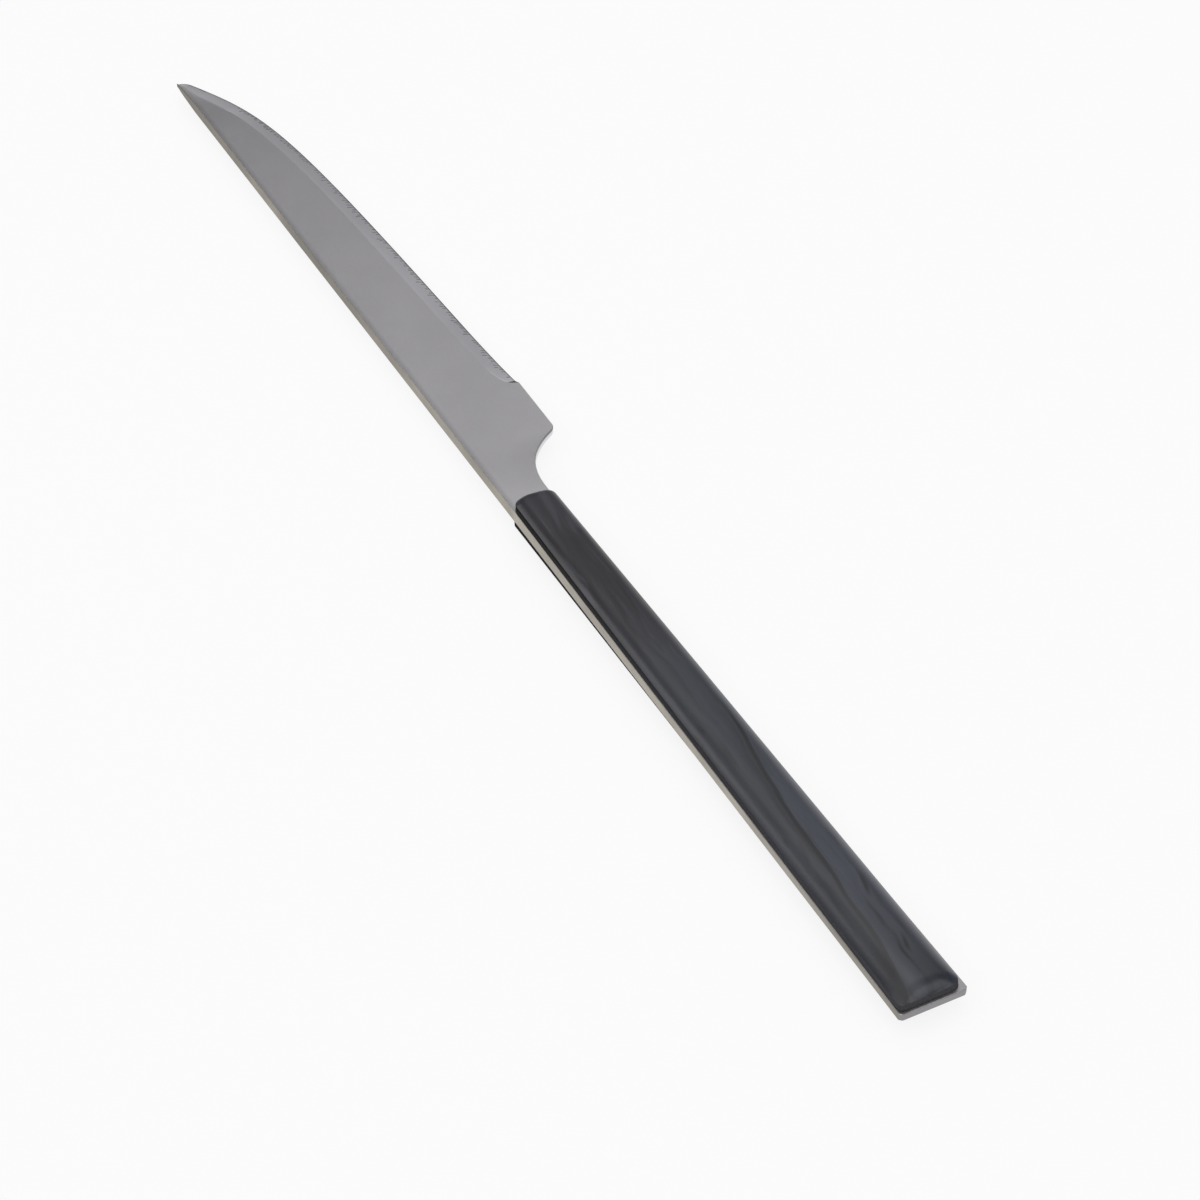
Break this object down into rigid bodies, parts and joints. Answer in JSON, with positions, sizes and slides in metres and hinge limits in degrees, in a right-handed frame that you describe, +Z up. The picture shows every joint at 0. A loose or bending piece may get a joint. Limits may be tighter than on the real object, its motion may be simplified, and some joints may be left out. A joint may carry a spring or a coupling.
{
  "type": "dessert knife",
  "caption": "Full tang dessert knife with a pointed, finely toothed blade, blunt heel, choil and two marbled resin handle scales, lying on its side.",
  "frame": {"origin": "middle of the footprint, on the surface that the knife lies on", "axes": "+X along the knife from tip to butt, +Y across it from spine to cutting edge, +Z up, through the thickness of the plate"},
  "size_m": [0.21, 0.0138, 0.0064],
  "materials": {
    "blade_steel": "satin, finely ground",
    "scale_resin": "polished slate grey marbled resin",
    "epoxy": "cured adhesive",
    "pin_steel": "plain drawn wire"
  },
  "bodies": {
    "root": {"blade_and_tang": "blade_steel", "upper_scale": "scale_resin", "lower_scale": "scale_resin", "upper_adhesive_film": "epoxy", "lower_adhesive_film": "epoxy", "front_hidden_pin": "pin_steel", "middle_hidden_pin": "pin_steel", "rear_hidden_pin": "pin_steel"}
  },
  "joints": []
}
